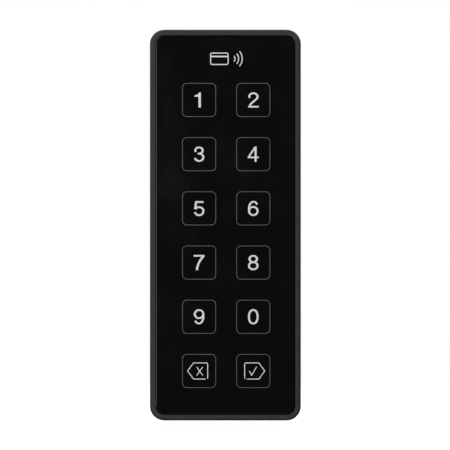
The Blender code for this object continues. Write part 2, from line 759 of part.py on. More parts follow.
def make_antenna_coil(tilt_axis):
    """The wound loop between the boards."""
    margin = 1.0 * MM
    winding = 2.5 * MM
    corner = 8.0 * MM
    rear = MAIN_BOARD_FRONT + 2 * GAP
    front = TOUCH_BOARD_REAR - 2 * GAP
    limits = (BOARD_HALF - margin, MAIN_BOARD_BOTTOM + margin, MAIN_BOARD_TOP - margin)
    outer = rounded_rect(*limits, corner, steps=6)
    inner = rounded_rect(*limits, corner, inset=winding, steps=6)
    finish(band("antenna_coil", outer, inner, rear, front), "copper", tilt_axis)


def chip(name, x, z, size_x, size_z, rear, front, finish_name, tilt_axis):
    """A surface-mounted package with chamfered edges on the side away from its board."""
    half_x, half_z = size_x / 2, size_z / 2
    draft = 0.15 * MM
    faces_wall = rear < MAIN_BOARD_REAR or TOUCH_BOARD_REAR - front < MM
    insets = (draft, 0.0) if faces_wall else (0.0, draft)
    rings = []
    for inset, depth in zip(insets, (rear, front)):
        outline = rectangle(inset - half_x, half_x - inset, inset - half_z, half_z - inset)
        rings.append(at_depth(outline, depth))
    finish(moved(loft(name, rings), x=x, z=z), finish_name, tilt_axis)


def make_components(tilt_axis):
    """Packages on the two boards: (name, x, z, width, height, thickness, side, finish)."""
    behind_main = MAIN_BOARD_REAR - GAP
    before_main = MAIN_BOARD_FRONT + GAP
    behind_touch = TOUCH_BOARD_REAR - GAP
    behind = [
        ("microcontroller", 0.0, -12.0, 10.0, 10.0, 1.4, behind_main, "chip_black"),
        ("power_inductor", -13.0, -14.0, 6.0, 6.0, 3.0, behind_main, "chip_black"),
        ("voltage_regulator", 13.0, -14.0, 6.5, 6.0, 1.6, behind_main, "chip_black"),
        ("tamper_switch", TAMPER_X / MM, TAMPER_Z / MM, 6.0, 6.0, 1.6, behind_main, "connector_ivory"),
        ("touch_controller", 0.0, -21.0, 5.0, 5.0, 0.9, behind_touch, "chip_black"),
        ("board_socket", 0.0, 25.0, 16.0, 3.4, 1.15, behind_touch, "connector_ivory"),
    ]
    before = [
        ("reader_chip", 0.0, 2.0, 6.0, 6.0, 0.9, before_main, "chip_black"),
        ("crystal", 9.0, 2.0, 3.2, 2.5, 0.7, before_main, "steel"),
        ("board_header", 0.0, 25.0, 16.0, 3.4, 1.45, before_main, "connector_ivory"),
    ]
    for name, x, z, width, height, thickness, seat, finish_name in behind:
        limits = (seat - thickness * MM, seat)
        chip(name, x * MM, z * MM, width * MM, height * MM, *limits, finish_name, tilt_axis)
    for name, x, z, width, height, thickness, seat, finish_name in before:
        limits = (seat, seat + thickness * MM)
        chip(name, x * MM, z * MM, width * MM, height * MM, *limits, finish_name, tilt_axis)


def make_round_components(tilt_axis):
    """The buzzer and the supply capacitor, behind the main board."""
    seat = MAIN_BOARD_REAR - GAP
    edge = 0.4 * MM
    packages = (
        ("buzzer", BUZZER_X, BUZZER_Z, 5.5 * MM, 5.0 * MM, "dark_plastic"),
        ("supply_capacitor", 1.5 * MM, -43.0 * MM, 3.15 * MM, 5.2 * MM, "steel"),
    )
    for name, x, z, radius, height, finish_name in packages:
        end = seat - height
        profile = [(0, end), (radius - edge, end), (radius, end + edge), (radius, seat), (0, seat)]
        finish(turned(name, profile, "depth", 20), finish_name, tilt_axis, (x, 0, z))


def terminal_x(index):
    return (index - (TERMINALS - 1) / 2) * TERMINAL_PITCH


def make_terminal_block(tilt_axis):
    """A row of wire entries that face down, each with a clamping screw that faces the wall."""
    seat = MAIN_BOARD_REAR - GAP
    entry_half = 1.2 * MM
    entry_z = (TERMINAL_BOTTOM - PAST, TERMINAL_BOTTOM + 4.0 * MM)
    entry_depth = (6.0 * MM, 8.6 * MM)
    well_radius = 1.4 * MM
    well_floor = 5.4 * MM
    limits = ((-TERMINAL_HALF, TERMINAL_HALF), (TERMINAL_BOTTOM, TERMINAL_TOP), (TERMINAL_REAR, seat))
    body = block("terminal_block", *limits)
    cutters = []
    for index in range(TERMINALS):
        x = terminal_x(index)
        cutters.append(block("entry", (x - entry_half, x + entry_half), entry_z, entry_depth))
        cutters.append(rod("well", well_radius, TERMINAL_REAR - PAST, well_floor, x, TERMINAL_SCREW_Z, 12))
    finish(cut(body, *cutters), "terminal_green", tilt_axis)


def make_terminal_screws(tilt_axis):
    radius = 1.1 * MM
    length = 1.5 * MM
    slot_half = 0.2 * MM
    slot_depth = 0.5 * MM
    rear = TERMINAL_REAR + 0.4 * MM
    screw = turned("terminal_screw_1", [(radius, 0), (radius, length)], "depth", 12)
    cut(screw, block("slot", (-2 * radius, 2 * radius), (-slot_half, slot_half), (-PAST, slot_depth)))
    names = [f"terminal_screw_{index + 1}" for index in range(TERMINALS)]
    places = [(terminal_x(index), rear, TERMINAL_SCREW_Z) for index in range(TERMINALS)]
    copies(names, screw, "steel", tilt_axis, places)


# ---------------------------------------------------------------- tamper


def make_tamper(tilt_axis):
    """The plunger that feels the wall, and the spring that pushes it out."""
    place = (TAMPER_X, 0, TAMPER_Z)
    edge = 0.3 * MM
    flange_radius = 2.8 * MM
    flange_front = PLUNGER_FLANGE + 0.6 * MM
    pin_radius = 0.7 * MM
    pin_front = SWITCH_REAR - 0.5 * MM
    profile = [
        (0, PLUNGER_TIP),
        (PLUNGER_RADIUS - edge, PLUNGER_TIP),
        (PLUNGER_RADIUS, PLUNGER_TIP + edge),
        (PLUNGER_RADIUS, PLUNGER_FLANGE),
        (flange_radius, PLUNGER_FLANGE),
        (flange_radius, flange_front),
        (pin_radius, flange_front),
        (pin_radius, pin_front),
        (0, pin_front),
    ]
    finish(turned("tamper_plunger", profile, "depth", 20), "connector_ivory", tilt_axis, place)
    wire = 0.15 * MM
    coil = 1.5 * MM
    rear = flange_front + GAP + wire
    front = SWITCH_REAR - GAP - wire
    finish(coil_spring("tamper_spring", coil, wire, rear, front, 3.5), "steel", tilt_axis, place)


def coil_spring(name, radius, wire, rear, front, turns):
    """A round wire wound along the depth, with flat cut ends."""
    steps = int(turns * 14)
    sides = 5
    rings = []
    for i in range(steps + 1):
        angle = 2 * math.pi * turns * i / steps
        depth = rear + (front - rear) * i / steps
        outward = Vector((math.cos(angle), 0, math.sin(angle)))
        centre = outward * radius - Vector((0, depth, 0))
        ring = []
        for k in range(sides):
            around = 2 * math.pi * k / sides
            across = Vector((0, wire * math.sin(around), 0))
            ring.append(centre + outward * (wire * math.cos(around)) + across)
        rings.append(ring)
    return loft(name, rings)


# ---------------------------------------------------------------- rear cover


def cover_outline(inset):
    """The rear cover's outline without its notch, drawn smaller by the inset."""
    half = WIDTH / 2 - SKIRT - GAP
    low = -HEIGHT / 2 + SKIRT + GAP
    return rounded_rect(half, low, COVER_TOP, 2.9 * MM, inset=inset)


def notch_cutter(grow, rear, front):
    """Makes room for the housing's lock box, larger by grow on its three sides."""
    half = POCKET_HALF + INNER_WALL + GAP + grow
    top = POCKET_TOP + INNER_WALL + GAP + grow
    return block("notch_cutter", (-half, half), (-HEIGHT / 2 - PAST, top), (rear - PAST, front + PAST))


def countersink(x, z):
    """A cutter for a flat-headed screw's hole in the rear cover."""
    wide = 2.7 * MM
    hole = 1.4 * MM
    floor = COVER_REAR + 1.2 * MM
    profile = [(wide, COVER_REAR - GAP), (hole, floor), (hole, COVER_FRONT + PAST)]
    return moved(turned("countersink", profile, "depth", 16), x=x, z=z)


def cover_cutters():
    """Cutters for the cover's wiring well, terminal window, notch and holes."""
    seat = MAIN_BOARD_REAR - GAP
    well_z = (WELL_BOTTOM, TERMINAL_BOTTOM - GAP + PAST)
    window_z = (TERMINAL_WINDOW_BOTTOM, TERMINAL_TOP + GAP)
    through = (PAST, COVER_FRONT + PAST)
    plunger_hole = PLUNGER_RADIUS + 0.4 * MM
    pilot_rear = 6.5 * MM
    tools = [
        block("well_cutter", (-WELL_HALF, WELL_HALF), well_z, (PAST, WELL_FLOOR)),
        block("window", (-WELL_HALF, WELL_HALF), window_z, (PAST, COVER_FRONT + PAST / 2)),
        notch_cutter(0.0, COVER_REAR, COVER_FRONT),
        rod("tamper_cutter", plunger_hole, *through, TAMPER_X, TAMPER_Z),
        rod("sound_hole", SOUND_HOLE_RADIUS, *through, BUZZER_X, BUZZER_Z, 12),
    ]
    tools += [rod("pilot", PILOT_RADIUS, pilot_rear, seat + PAST, x, z, 12) for x, z in BOARD_SCREWS]
    return tools + [countersink(x, z) for x, z in COVER_SCREWS]


def make_rear_cover(tilt_axis):
    cover = prism("rear_cover", cover_outline(0.0), COVER_REAR, COVER_FRONT)
    seat = MAIN_BOARD_REAR - GAP
    inside = COVER_FRONT - OVERLAP
    posts = [rod("post", POST_RADIUS, inside, seat, x, z) for x, z in BOARD_SCREWS]
    half = WELL_HALF + WELL_WALL
    well_z = (WELL_BOTTOM - WELL_WALL, TERMINAL_BOTTOM - GAP)
    join(cover, block("well", (-half, half), well_z, (inside, WELL_FLOOR + WELL_WALL)), *posts)
    cut(cover, *cover_cutters())
    finish(cover, "dark_plastic", tilt_axis)


def make_rear_seal(tilt_axis):
    """A flat ring between the cover and the housing's ledge, which follows the notch."""
    rear = COVER_FRONT + GAP
    front = LEDGE - GAP
    start = 0.1 * MM
    end = start + 1.0 * MM
    seal = prism("rear_seal", cover_outline(start), rear, front)
    cut(seal, notch_cutter(start, rear, front))
    middle = prism("middle", cover_outline(end), rear - PAST, front + PAST)
    cut(middle, notch_cutter(end, rear - PAST, front + PAST))
    finish(cut(seal, middle), "rubber_black", tilt_axis)


def cross_recess(rear, front):
    """Cutters for a cross recess between two depths."""
    arm, half = 1.1 * MM, 0.25 * MM
    upright = block("recess", (-half, half), (-arm, arm), (rear, front))
    return [upright, block("recess", (-arm, arm), (-half, half), (rear, front))]


def make_cover_screws(tilt_axis):
    head_rear = COVER_REAR + 0.1 * MM
    cone = 1.25 * MM
    shank = 1.0 * MM
    point = 0.8 * MM
    profile = [
        (shank + cone, head_rear),
        (shank, head_rear + cone),
        (shank, COVER_SCREW_TIP - point),
        (shank / 2, COVER_SCREW_TIP),
    ]
    screw = turned("cover_screw_1", profile, "depth", 16)
    cut(screw, *cross_recess(head_rear - PAST, head_rear + 0.9 * MM))
    names = [f"cover_screw_{i + 1}" for i in range(len(COVER_SCREWS))]
    copies(names, screw, "steel", tilt_axis, [(x, 0, z) for x, z in COVER_SCREWS])


def make_board_screws(tilt_axis):
    head_rear = MAIN_BOARD_FRONT + GAP
    head_front = head_rear + 1.0 * MM
    head = 1.9 * MM
    shank = 0.95 * MM
    tip = 7.0 * MM
    point = 0.6 * MM
    profile = [
        (shank / 2, tip),
        (shank, tip + point),
        (shank, head_rear),
        (head, head_rear),
        (head, head_front - GAP),
        (head - GAP, head_front),
    ]
    screw = turned("board_screw_1", profile, "depth", 16)
    cut(screw, *cross_recess(head_front - 0.6 * MM, head_front + PAST))
    names = [f"board_screw_{i + 1}" for i in range(len(BOARD_SCREWS))]
    copies(names, screw, "steel", tilt_axis, [(x, 0, z) for x, z in BOARD_SCREWS])


def build():
    for obj in list(bpy.data.objects):
        bpy.data.objects.remove(obj)
    tilt_axis = make_empty("tilt_axis", 0, HINGE_DEPTH, HINGE_Z)
    screw_axis = make_empty("screw_axis", 0, SCREW_DEPTH, SEAT_BOTTOM)
    make_wall_plate()
    make_cable_grommet()
    make_lock(screw_axis)
    make_housing(tilt_axis)
    make_face_lens(tilt_axis)
    make_lens_gasket(tilt_axis)
    make_legend_film(tilt_axis)
    make_light_diffuser(tilt_axis)
    make_lights(tilt_axis)
    make_touch_board(tilt_axis)
    make_main_board(tilt_axis)
    make_antenna_coil(tilt_axis)
    make_components(tilt_axis)
    make_round_components(tilt_axis)
    make_terminal_block(tilt_axis)
    make_terminal_screws(tilt_axis)
    make_tamper(tilt_axis)
    make_rear_cover(tilt_axis)
    make_rear_seal(tilt_axis)
    make_cover_screws(tilt_axis)
    make_board_screws(tilt_axis)


build()
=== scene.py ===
"""Looks of the wall-mounted card reader: printed legends, detailed fixings, materials, light and camera."""

import json
import math

import bmesh
import bpy
from mathutils import Matrix, Vector


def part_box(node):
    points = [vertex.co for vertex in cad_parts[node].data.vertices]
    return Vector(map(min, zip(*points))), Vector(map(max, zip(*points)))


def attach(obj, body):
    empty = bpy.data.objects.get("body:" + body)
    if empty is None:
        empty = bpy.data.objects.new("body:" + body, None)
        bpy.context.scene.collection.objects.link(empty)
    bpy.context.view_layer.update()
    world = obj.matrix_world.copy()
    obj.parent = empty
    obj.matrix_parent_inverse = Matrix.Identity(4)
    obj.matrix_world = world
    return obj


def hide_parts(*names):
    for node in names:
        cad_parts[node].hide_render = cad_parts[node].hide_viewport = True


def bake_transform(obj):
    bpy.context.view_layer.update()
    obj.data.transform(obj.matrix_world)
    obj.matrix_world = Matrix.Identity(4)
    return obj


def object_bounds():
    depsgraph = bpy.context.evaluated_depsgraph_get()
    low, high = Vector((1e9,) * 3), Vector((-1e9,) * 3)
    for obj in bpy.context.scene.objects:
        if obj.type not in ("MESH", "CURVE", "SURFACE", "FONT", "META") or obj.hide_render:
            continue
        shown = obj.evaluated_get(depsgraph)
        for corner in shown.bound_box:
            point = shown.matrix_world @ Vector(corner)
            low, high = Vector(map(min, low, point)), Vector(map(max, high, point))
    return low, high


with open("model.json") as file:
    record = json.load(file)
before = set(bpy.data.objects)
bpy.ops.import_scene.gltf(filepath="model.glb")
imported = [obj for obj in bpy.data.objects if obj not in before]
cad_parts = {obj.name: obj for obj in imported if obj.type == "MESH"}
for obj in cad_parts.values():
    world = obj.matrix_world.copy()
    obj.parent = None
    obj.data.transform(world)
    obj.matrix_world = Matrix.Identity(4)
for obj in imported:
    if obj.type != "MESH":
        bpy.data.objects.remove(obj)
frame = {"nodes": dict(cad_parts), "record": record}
cad_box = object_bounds()

MM = 0.001
NODES = frame["nodes"]

# ---------------------------------------------------------------- places, read from the frame


def centre_of(node):
    low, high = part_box(node)
    return (low + high) / 2


LENS_LOW, LENS_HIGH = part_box("face_lens")
FACE_Y = LENS_LOW.y  # the glossy face, towards -Y
KEYS = [centre_of(f"key_light_{i}") for i in range(1, 13)]
PRINT_RISE = 0.01 * MM  # how far the printed legends stand off the face
PRINT_THICKNESS = 0.03 * MM
PRINT_SHIFT = 0.26 * MM  # how far the print lies to the right of the lights
SYMBOL_SHIFT = 0.9 * MM
SYMBOL_DROP = 7.7 * MM  # from the face's top edge to the middle of the card symbol

# ---------------------------------------------------------------- meshes


def make_object(name, bm):
    """Turns a bmesh into an object, with its faces outward."""
    bmesh.ops.recalc_face_normals(bm, faces=bm.faces)
    mesh = bpy.data.meshes.new(name)
    bm.to_mesh(mesh)
    bm.free()
    obj = bpy.data.objects.new(name, mesh)
    bpy.context.scene.collection.objects.link(obj)
    return obj


def combined(name, operation, body, tools):
    """The body joined with the tools or cut by them, as one new object in their place."""
    for tool in tools:
        modifier = body.modifiers.new(tool.name, "BOOLEAN")
        modifier.operation = operation
        modifier.solver = "EXACT"
        modifier.object = tool
    bpy.context.view_layer.update()
    evaluated = body.evaluated_get(bpy.context.evaluated_depsgraph_get())
    mesh = bpy.data.meshes.new_from_object(evaluated)
    mesh.name = name
    obj = bpy.data.objects.new(name, mesh)
    bpy.context.scene.collection.objects.link(obj)
    for piece in (body, *tools):
        bpy.data.objects.remove(piece)
    return obj


def wear(obj, material):
    """Gives an object this material only."""
    obj.data.materials.clear()
    obj.data.materials.append(material)


# ---------------------------------------------------------------- materials


class Surface:
    """A Principled material with short calls for the nodes that give it its detail."""

    def __init__(self, name, colour, roughness, metallic=0.0, **sockets):
        self.material = bpy.data.materials.new(name)
        self.material.use_nodes = True
        self.tree = self.material.node_tree
        self.shader = self.tree.nodes["Principled BSDF"]
        self.shader.inputs["Base Color"].default_value = (*colour, 1.0)
        self.shader.inputs["Roughness"].default_value = roughness
        self.shader.inputs["Metallic"].default_value = metallic
        for socket, value in sockets.items():
            self.shader.inputs[socket.replace("_", " ")].default_value = value
        self.place = self.tree.nodes.new("ShaderNodeTexCoord")
        self.last_normal = None

    def link(self, out, into):
        self.tree.links.new(out, into)

    def stretched(self, scale):
        """Object coordinates, scaled by a vector, in metres of the shared frame."""
        node = self.tree.nodes.new("ShaderNodeMapping")
        node.inputs["Scale"].default_value = scale
        self.link(self.place.outputs["Object"], node.inputs["Vector"])
        return node.outputs["Vector"]

    def noise(self, size, detail=2.0, roughness=0.5, scale=(1, 1, 1)):
        """Noise whose features are about this size, in metres."""
        node = self.tree.nodes.new("ShaderNodeTexNoise")
        node.inputs["Scale"].default_value = 1 / size
        node.inputs["Detail"].default_value = detail
        node.inputs["Roughness"].default_value = roughness
        self.link(self.stretched(scale), node.inputs["Vector"])
        return node.outputs["Fac"]

    def cells(self, size, feature="F1"):
        """Irregular cells of about this size, in metres."""
        node = self.tree.nodes.new("ShaderNodeTexVoronoi")
        node.feature = feature
        node.inputs["Scale"].default_value = 1 / size
        self.link(self.stretched((1, 1, 1)), node.inputs["Vector"])
        return node.outputs["Distance"]

    def ramp(self, fac, low, high, low_at=0.3, high_at=0.7):
        """Maps a 0 to 1 value to a colour or a grey between low and high."""
        node = self.tree.nodes.new("ShaderNodeValToRGB")
        ends = zip(node.color_ramp.elements, (low_at, high_at), (low, high))
        for end, position, value in ends:
            end.position = position
            end.color = (*value, 1.0) if hasattr(value, "__len__") else (value, value, value, 1.0)
        self.link(fac, node.inputs["Fac"])
        return node.outputs["Color"]

    def colour(self, fac, low, high, low_at=0.3, high_at=0.7):
        self.link(self.ramp(fac, low, high, low_at, high_at), self.shader.inputs["Base Color"])
        return self

    def rough(self, fac, low, high, low_at=0.3, high_at=0.7):
        self.link(self.ramp(fac, low, high, low_at, high_at), self.shader.inputs["Roughness"])
        return self

    def bump(self, fac, distance, strength=1.0):
        """Raises the surface where the value is high, over the bumps that it has already."""
        node = self.tree.nodes.new("ShaderNodeBump")
        node.inputs["Distance"].default_value = distance
        node.inputs["Strength"].default_value = strength
        self.link(fac, node.inputs["Height"])
        if self.last_normal is not None:
            self.link(self.last_normal, node.inputs["Normal"])
        self.last_normal = node.outputs["Normal"]
        self.link(self.last_normal, self.shader.inputs["Normal"])
        return self


def moulded_plastic(name, tone, roughness, grain, depth):
    """Spark-eroded plastic: pits and grain in the shape, faint mottling in the tone and the sheen."""
    surface = Surface(name, tone, roughness, Specular_IOR_Level=0.35)
    pits = surface.noise(grain, detail=3.0, roughness=0.6)
    surface.colour(pits, [c * 0.75 for c in tone], [c * 1.25 for c in tone], 0.36, 0.64)
    surface.rough(surface.noise(3 * grain, detail=3.0), roughness - 0.04, roughness + 0.04)
    surface.bump(surface.noise(0.4 * grain, detail=2.0), 0.5 * depth)
    return surface.bump(pits, depth).material


def gloss_face(name):
    """Polished hard-coated plate with barely visible smears from use."""
    surface = Surface(name, (0.0044, 0.0044, 0.0045), 0.05)
    surface.rough(surface.noise(14 * MM, detail=5.0, roughness=0.62), 0.045, 0.13, 0.42, 0.78)
    surface.colour(surface.noise(0.5 * MM), (0.0041,) * 3, (0.0047,) * 3)
    return surface.bump(surface.noise(22 * MM, detail=1.0), 0.02 * MM, 0.15).material


def printed_ink(name, tone):
    """Screen-printed ink: an even tone with fine mesh marks and slightly uneven cover."""
    surface = Surface(name, tone, 0.22)
    cover = surface.noise(0.35 * MM, detail=2.0)
    surface.colour(cover, [c * 0.95 for c in tone], [min(1.0, c * 1.04) for c in tone])
    surface.rough(surface.noise(0.12 * MM), 0.18, 0.3)
    return surface.bump(surface.cells(0.12 * MM), 0.004 * MM, 0.4).material


def plated_steel(name, tone=(0.56, 0.56, 0.57)):
    """Zinc-plated fastener steel with turning marks and a cloudy finish."""
    surface = Surface(name, tone, 0.3, metallic=1.0)
    surface.colour(surface.noise(1.2 * MM, detail=4.0), [c * 0.82 for c in tone], tone)
    surface.rough(surface.noise(0.25 * MM, detail=3.0), 0.22, 0.42)
    return surface.bump(surface.noise(0.08 * MM, scale=(1, 1, 0.12)), 0.006 * MM, 0.5).material


def soft_rubber(name):
    surface = Surface(name, (0.013, 0.013, 0.013), 0.78)
    surface.colour(surface.noise(0.6 * MM, detail=4.0), (0.01,) * 3, (0.02,) * 3)
    surface.rough(surface.noise(2.5 * MM, detail=3.0), 0.68, 0.88)
    return surface.bump(surface.noise(0.15 * MM, detail=3.0), 0.02 * MM).material


def circuit_board(name):
    """Green solder resist over a web of copper tracks."""
    surface = Surface(name, (0.012, 0.1, 0.04), 0.32)
    tracks = surface.cells(3.2 * MM, "DISTANCE_TO_EDGE")
    surface.colour(tracks, (0.03, 0.2, 0.07), (0.008, 0.075, 0.03), 0.02, 0.07)
    surface.rough(surface.noise(1.5 * MM, detail=3.0), 0.26, 0.4)
    return surface.bump(surface.ramp(tracks, 1.0, 0.0, 0.02, 0.07), 0.03 * MM, 0.5).material


def enamelled_copper(name):
    surface = Surface(name, (0.6, 0.22, 0.08), 0.3, metallic=1.0)
    surface.colour(surface.noise(0.9 * MM, detail=3.0), (0.46, 0.15, 0.05), (0.7, 0.29, 0.12))
    surface.rough(surface.noise(0.4 * MM), 0.2, 0.36)
    return surface.bump(surface.noise(0.16 * MM, scale=(1, 6, 1)), 0.03 * MM).material


def frosted_plate(name):
    surface = Surface(name, (0.74, 0.76, 0.77), 0.4, Transmission_Weight=0.35)
    surface.colour(surface.noise(5 * MM, detail=3.0), (0.68, 0.7, 0.71), (0.78, 0.8, 0.81))
    surface.rough(surface.noise(0.3 * MM), 0.32, 0.5)
    return surface.bump(surface.cells(0.4 * MM), 0.02 * MM).material


def light_resin(name):
    surface = Surface(name, (0.83, 0.78, 0.5), 0.25)
    surface.colour(surface.noise(0.5 * MM, detail=3.0), (0.75, 0.66, 0.32), (0.88, 0.84, 0.62))
    surface.rough(surface.noise(0.2 * MM), 0.16, 0.34)
    return surface.bump(surface.noise(0.3 * MM), 0.01 * MM).material


# name: tone, roughness, size of the grain, depth of the grain
PLASTICS = {
    "housing_plastic": ((0.026, 0.026, 0.0266), 0.62, 0.55 * MM, 0.03 * MM),
    "dark_plastic": ((0.018, 0.018, 0.0185), 0.5, 0.5 * MM, 0.025 * MM),
    "chip_black": ((0.016, 0.016, 0.017), 0.45, 0.12 * MM, 0.01 * MM),
    "connector_ivory": ((0.68, 0.64, 0.52), 0.42, 0.25 * MM, 0.01 * MM),
    "terminal_green": ((0.018, 0.22, 0.075), 0.42, 0.25 * MM, 0.012 * MM),
    "film": ((0.02, 0.02, 0.02), 0.4, 0.15 * MM, 0.002 * MM),
}
LEGEND_INK = (0.765, 0.77, 0.775)
OUTLINE_INK = (0.105, 0.105, 0.107)


def make_finishes():
    """One material for each of the record's slots."""
    finishes = {name: moulded_plastic(name, *values) for name, values in PLASTICS.items()}
    finishes["gloss_black"] = gloss_face("gloss_black")
    finishes["rubber_black"] = soft_rubber("rubber_black")
    finishes["legend_print"] = printed_ink("legend_print", LEGEND_INK)
    finishes["clear_plastic"] = frosted_plate("clear_plastic")
    finishes["circuit_board"] = circuit_board("circuit_board")
    finishes["copper"] = enamelled_copper("copper")
    finishes["steel"] = plated_steel("steel")
    finishes["led_white"] = light_resin("led_white")
    return finishes


def dress_cad_nodes(finishes):
    """Gives every CAD node the finish of its slot, and softens the curved faces' shading."""
    for part in frame["record"]["subparts"]:
        node = NODES[part["node"]]
        wear(node, finishes[part["material_slot"]])
        node.data.shade_smooth()
        node.data.set_sharp_from_angle(angle=math.radians(32))


# ---------------------------------------------------------------- flat shapes for the legends
# Drawn in millimetres around a key's middle, or around the symbol's place.

STEM = 0.66  # stroke width of upright strokes
BAR = 0.56  # stroke width of level strokes
CAP = 2.52  # half the height of a flat-topped digit
ROUND_TOP = 2.25  # height of a round digit's centre line
KEY_HALF = 5.53
KEY_CORNER = 1.45
KEY_LINE = 0.20
TAG_LINE = 0.29
TAG_HALF = 2.68
CROSS_LINE = 0.26
TICK_LINE = 0.27
SYMBOL_LINE = 0.34
SHARPEST_MITRE = 0.35  # keeps the outside of a sharp corner from running far out
SAME_POINT = 1e-4


def ellipse(x, z, rx, rz, start, end, steps=20):
    angles = [math.radians(start + (end - start) * i / steps) for i in range(steps + 1)]
    return [Vector((x + rx * math.cos(a), z + rz * math.sin(a))) for a in angles]


def bezier(*controls, steps=12):
    a, b, c, d = (Vector(p) for p in controls)
    points = []
    for i in range(steps + 1):
        t = i / steps
        s = 1 - t
        points.append(a * s**3 + b * 3 * s * s * t + c * 3 * s * t * t + d * t**3)
    return points


def joined(*runs):
    """One path from several, without the points that two runs share."""
    path = []
    for run in runs:
        for point in run:
            if not path or (Vector(point) - path[-1]).length > SAME_POINT:
                path.append(Vector(point))
    return path


def stroke_sides(path, widths, closed=False):
    """The left and right edge of a stroke along a path, with mitred corners."""
    count = len(path)
    left, right = [], []
    for i, point in enumerate(path):
        before = path[i - 1] if closed or i > 0 else None
        after = path[(i + 1) % count] if closed or i < count - 1 else None
        into = (point - before).normalized() if before is not None else (after - point).normalized()
        out = (after - point).normalized() if after is not None else into
        along = (into + out).normalized()
        across = Vector((-along.y, along.x))
        stem, bar = widths
        half = 0.5 * math.hypot(stem * along.y, bar * along.x)
        half /= max(SHARPEST_MITRE, along.dot(into))
        left.append(point + across * half)
        right.append(point - across * half)
    return left, right


def flat_solid(loops, low_z=0.0, high_z=1.0):
    """A flat solid between two heights: the inside of one loop, or the band between two."""
    bm = bmesh.new()
    levels = []
    for height in (low_z, high_z):
        levels.append([[bm.verts.new((p.x, p.y, height)) for p in loop] for loop in loops])
    bands = list(zip(*levels))
    if len(loops) == 2:
        bands += levels
    else:
        for level in levels:
            bm.faces.new(level[0])
    for near, far in bands:
        for i in range(len(near)):
            j = (i + 1) % len(near)
            bm.faces.new((near[i], near[j], far[j], far[i]))
    return make_object("stroke", bm)


def ribbon(path, widths=(STEM, BAR)):
    """An open stroke with square ends, as a flat solid 1 mm thick."""
    left, right = stroke_sides(path, widths)
    bm = bmesh.new()
    rows = []
    for height in (0.0, 1.0):
        rows.append([[bm.verts.new((p.x, p.y, height)) for p in side] for side in (left, right)])
    (low_l, low_r), (high_l, high_r) = rows
    for i in range(len(path) - 1):
        bm.faces.new((low_l[i], low_l[i + 1], low_r[i + 1], low_r[i]))
        bm.faces.new((high_l[i], high_l[i + 1], high_r[i + 1], high_r[i]))
        bm.faces.new((low_l[i], low_l[i + 1], high_l[i + 1], high_l[i]))
        bm.faces.new((low_r[i], low_r[i + 1], high_r[i + 1], high_r[i]))
    for end in (0, -1):
        bm.faces.new((low_l[end], low_r[end], high_r[end], high_l[end]))
    return make_object("stroke", bm)


def ring(path, widths=(STEM, BAR)):
    """A closed stroke, as a flat solid 1 mm thick."""
    return flat_solid(stroke_sides(path, widths, closed=True))


def plate(points):
    """A filled outline, as a flat solid 1 mm thick."""
    return flat_solid([[Vector(p) for p in points]])


def full_ellipse(x, z, rx, rz, steps=36):
    return ellipse(x, z, rx, rz, 0, 360, steps)[:-1]


def rounded_square(half_x, half_z, radius, steps=6):
    points = []
    for quarter, (sx, sz) in enumerate(((1, 1), (-1, 1), (-1, -1), (1, -1))):
        x, z = sx * (half_x - radius), sz * (half_z - radius)
        points += ellipse(x, z, radius, radius, 90 * quarter, 90 * quarter + 90, steps)
    return points


def digit_one():
    flag = bezier((-1.50, 1.62), (-0.72, 1.66), (-0.18, 1.86), (-0.02, CAP), steps=8)
    return [plate([(-0.22, -CAP), (0.58, -CAP), (0.58, CAP), *flag[::-1], (-1.50, 1.08), (-0.22, 1.08)])]


def digit_two():
    hook = ellipse(0.06, 1.13, 1.36, 1.12, 202, -28, 24)
    end = hook[-1]
    neck = bezier(end, (0.78, -0.28), (-1.02, -0.92), (-1.30, -2.30))
    foot = plate([(-1.70, -CAP), (1.78, -CAP), (1.78, -CAP + BAR), (-1.62, -CAP + BAR)])
    return [ribbon(joined(hook, neck)), foot]


def digit_three():
    waist = 0.18
    upper = ellipse(-0.02, (ROUND_TOP + waist) / 2, 1.22, (ROUND_TOP - waist) / 2, 205, -90, 24)
    lower = ellipse(-0.02, (waist - ROUND_TOP) / 2, 1.42, (ROUND_TOP + waist) / 2, 90, -168, 26)
    return [
        ribbon(joined(upper, [(-0.45, waist)])),
        ribbon(joined([(-0.45, waist)], lower)),
    ]


def digit_four():
    stem = plate([(0.44, -CAP), (1.11, -CAP), (1.11, CAP), (0.44, CAP)])
    bar = plate([(-1.85, -1.33), (1.86, -1.33), (1.86, -0.82), (-1.85, -0.82)])
    slope = plate([(-1.85, -0.88), (-1.18, -0.88), (0.55, 1.68), (0.55, CAP), (0.44, CAP)])
    return [stem, bar, slope]


def digit_five():
    high = CAP - 0.12
    top = plate([(-1.26, high - BAR), (1.52, high - BAR), (1.52, high), (-1.26, high)])
    stem = plate([(-1.29, high), (-0.58, high), (-0.98, -0.20), (-1.70, -0.20)])
    bowl = ellipse(0.0, -0.93, 1.43, 1.35, 149, -166, 30)
    return [top, stem, ribbon(bowl)]


def digit_six(turn=1):
    """The 6, or with turn -1 the same shape turned half round, the 9."""
    back = ellipse(0.08, -0.02, 1.50, 2.24, 36, 196, 24)
    bowl = full_ellipse(0.02, -0.88, 1.42, 1.36)
    return [ribbon([p * turn for p in back]), ring([p * turn for p in bowl])]


def digit_seven():
    bar = plate([(-1.80, CAP - BAR), (1.80, CAP - BAR), (1.80, CAP), (-1.80, CAP)])
    leg = bezier((1.42, 2.02), (0.25, 0.80), (-0.62, -0.72), (-0.72, -CAP))
    return [bar, ribbon(leg, (0.71, 0.60))]


def digit_eight():
    waist = 0.16
    upper = full_ellipse(0, (ROUND_TOP + waist) / 2, 1.24, (ROUND_TOP - waist) / 2)
    lower = full_ellipse(0, (waist - ROUND_TOP) / 2, 1.43, (ROUND_TOP + waist) / 2)
    return [ring(upper), ring(lower)]


def digit_nine():
    return digit_six(turn=-1)


